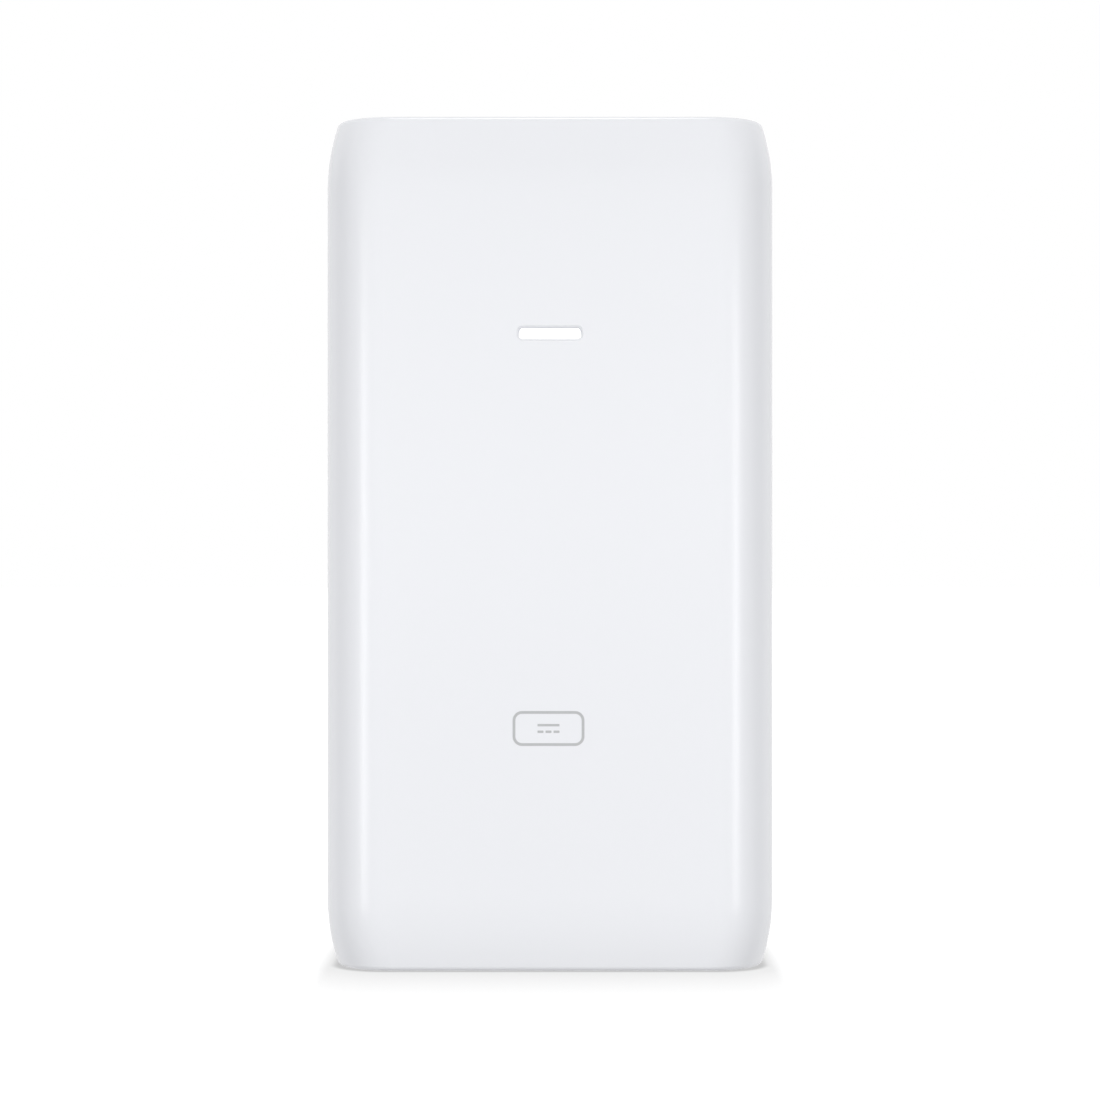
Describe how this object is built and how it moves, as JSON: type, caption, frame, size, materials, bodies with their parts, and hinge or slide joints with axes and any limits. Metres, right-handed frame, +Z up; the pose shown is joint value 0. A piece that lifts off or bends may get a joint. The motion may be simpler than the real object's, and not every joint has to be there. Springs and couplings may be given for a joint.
{
  "type": "poe injector",
  "caption": "Compact mains-powered power-over-Ethernet injector: tapered white housing, two modular jacks below, mains inlet above, status window and slide-on wall bracket.",
  "frame": {"origin": "centre of the lower end face, where the housing stands", "axes": "+Z up towards the mains inlet, -Y out of the front face with the status window, +X to the right seen from the front"},
  "size_m": [0.0454, 0.034, 0.086],
  "materials": {
    "housing_white": "satin, cool white",
    "bracket_white": "fine matte texture",
    "clear_pipe": "clear, lit from behind",
    "lamp": "white lamp with a yellow phosphor dot",
    "board_green": "solder mask",
    "zinc_steel": "bright zinc",
    "fish_paper": "pressed insulating paper",
    "jack_shield_metal": "tin plated sheet",
    "jack_black": "moulded, fine grain",
    "contact_gold": "gold flash over phosphor bronze",
    "inlet_black": "moulded, fine grain",
    "pin_nickel": "nickel plated",
    "fuse_brown": "moulded",
    "thermistor_green": "dipped coating",
    "varistor_blue": "dipped coating",
    "film_yellow": "boxed",
    "ferrite": "sintered",
    "copper_wire": "enamelled copper",
    "moulded_black": "epoxy moulding",
    "optocoupler_white": "epoxy moulding",
    "capacitor_sleeve": "shrink sleeve",
    "heatsink_aluminium": "mill finish",
    "winding_tape": "polyester tape",
    "disc_blue": "dipped coating",
    "solder": "tin",
    "lead_tin": "tin plated",
    "print_grey": "pad printed"
  },
  "bodies": {
    "injector": {"front_shell": "housing_white", "back_shell": "housing_white", "light_pipe": "clear_pipe", "status_lamp": "lamp", "circuit_board": "board_green", "board_screws": "zinc_steel", "heatsink_screw": "zinc_steel", "insulating_sheet": "fish_paper", "lan_jack_shield": "jack_shield_metal", "poe_jack_shield": "jack_shield_metal", "lan_jack_insert": "jack_black", "poe_jack_insert": "jack_black", "lan_contact_leads": "contact_gold", "poe_contact_leads": "contact_gold", "inlet_body": "inlet_black", "inlet_pins": "pin_nickel", "fuse": "fuse_brown", "thermistor": "thermistor_green", "varistor": "varistor_blue", "film_capacitor": "film_yellow", "choke_core": "ferrite", "transformer_core": "ferrite", "output_inductor_core": "ferrite", "choke_windings": "copper_wire", "output_inductor_winding": "copper_wire", "bridge_rectifier": "moulded_black", "output_rectifier": "moulded_black", "lan_data_transformer": "moulded_black", "poe_data_transformer": "moulded_black", "control_chip": "moulded_black", "switch_transistor": "moulded_black", "transformer_bobbin": "moulded_black", "optocoupler": "optocoupler_white", "left_bulk_capacitor": "capacitor_sleeve", "right_bulk_capacitor": "capacitor_sleeve", "left_output_capacitor": "capacitor_sleeve", "right_output_capacitor": "capacitor_sleeve", "primary_heatsink": "heatsink_aluminium", "transformer_winding": "winding_tape", "disc_capacitor": "disc_blue", "solder_joints": "solder", "lan_data_transformer_leads": "lead_tin", "poe_data_transformer_leads": "lead_tin", "optocoupler_leads": "lead_tin", "control_chip_leads": "lead_tin"},
    "wall_bracket": {"wall_bracket": "bracket_white"},
    "lan_contacts": {"lan_contact_springs": "contact_gold"},
    "poe_contacts": {"poe_contact_springs": "contact_gold"}
  },
  "joints": [
    {"name": "bracket_slide", "type": "slide", "parent": "injector", "child": "wall_bracket", "axis": [0, 0, -1], "range_m": [0, 0.008]},
    {"name": "lan_contact_flex", "type": "hinge", "parent": "injector", "child": "lan_contacts", "pos_m": [-0.009, -0.0033, 0.00315], "axis": [1, 0, 0], "range_deg": [0, 13], "stiffness_Nm_per_rad": 0.02},
    {"name": "poe_contact_flex", "type": "hinge", "parent": "injector", "child": "poe_contacts", "pos_m": [0.009, -0.0033, 0.00315], "axis": [1, 0, 0], "range_deg": [0, 13], "stiffness_Nm_per_rad": 0.02}
  ]
}
